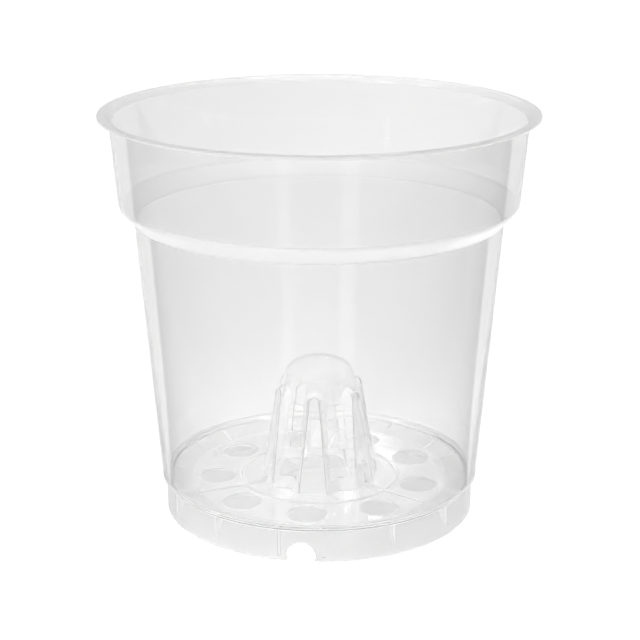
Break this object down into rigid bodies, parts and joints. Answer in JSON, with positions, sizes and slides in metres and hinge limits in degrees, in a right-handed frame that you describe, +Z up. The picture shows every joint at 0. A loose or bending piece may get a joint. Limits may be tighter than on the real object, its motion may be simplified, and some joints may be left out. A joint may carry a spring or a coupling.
{
  "type": "orchid pot with slotted air cone",
  "caption": "Clear round orchid pot: flared rim, stepped collar, tapered wall, notched foot skirt, drained floor and a slotted air cone in the middle.",
  "frame": {"origin": "centre of the foot, in the plane that the pot stands on", "axes": "+Z up along the pot's axis; -Y towards one of the notches in the foot skirt"},
  "size_m": [0.1296, 0.1296, 0.1224],
  "materials": {
    "clear_plastic": "clear, smooth and glossy, with faint flow waves"
  },
  "bodies": {
    "root": {"rim_lip": "clear_plastic", "upper_collar": "clear_plastic", "shoulder_step": "clear_plastic", "side_wall": "clear_plastic", "foot_skirt": "clear_plastic", "floor_margin": "clear_plastic", "drain_floor": "clear_plastic", "floor_ribs": "clear_plastic", "cone_base": "clear_plastic", "cone_cap": "clear_plastic", "cone_stave_1": "clear_plastic", "cone_stave_2": "clear_plastic", "cone_stave_3": "clear_plastic", "cone_stave_4": "clear_plastic", "cone_stave_5": "clear_plastic", "cone_stave_6": "clear_plastic", "skirt_gusset_1": "clear_plastic", "skirt_gusset_2": "clear_plastic", "skirt_gusset_3": "clear_plastic", "skirt_gusset_4": "clear_plastic", "skirt_gusset_5": "clear_plastic", "skirt_gusset_6": "clear_plastic", "skirt_gusset_7": "clear_plastic", "skirt_gusset_8": "clear_plastic", "skirt_gusset_9": "clear_plastic", "notch_rib_1": "clear_plastic", "notch_rib_2": "clear_plastic", "notch_rib_3": "clear_plastic", "notch_rib_4": "clear_plastic", "notch_rib_5": "clear_plastic", "notch_rib_6": "clear_plastic"}
  },
  "joints": []
}
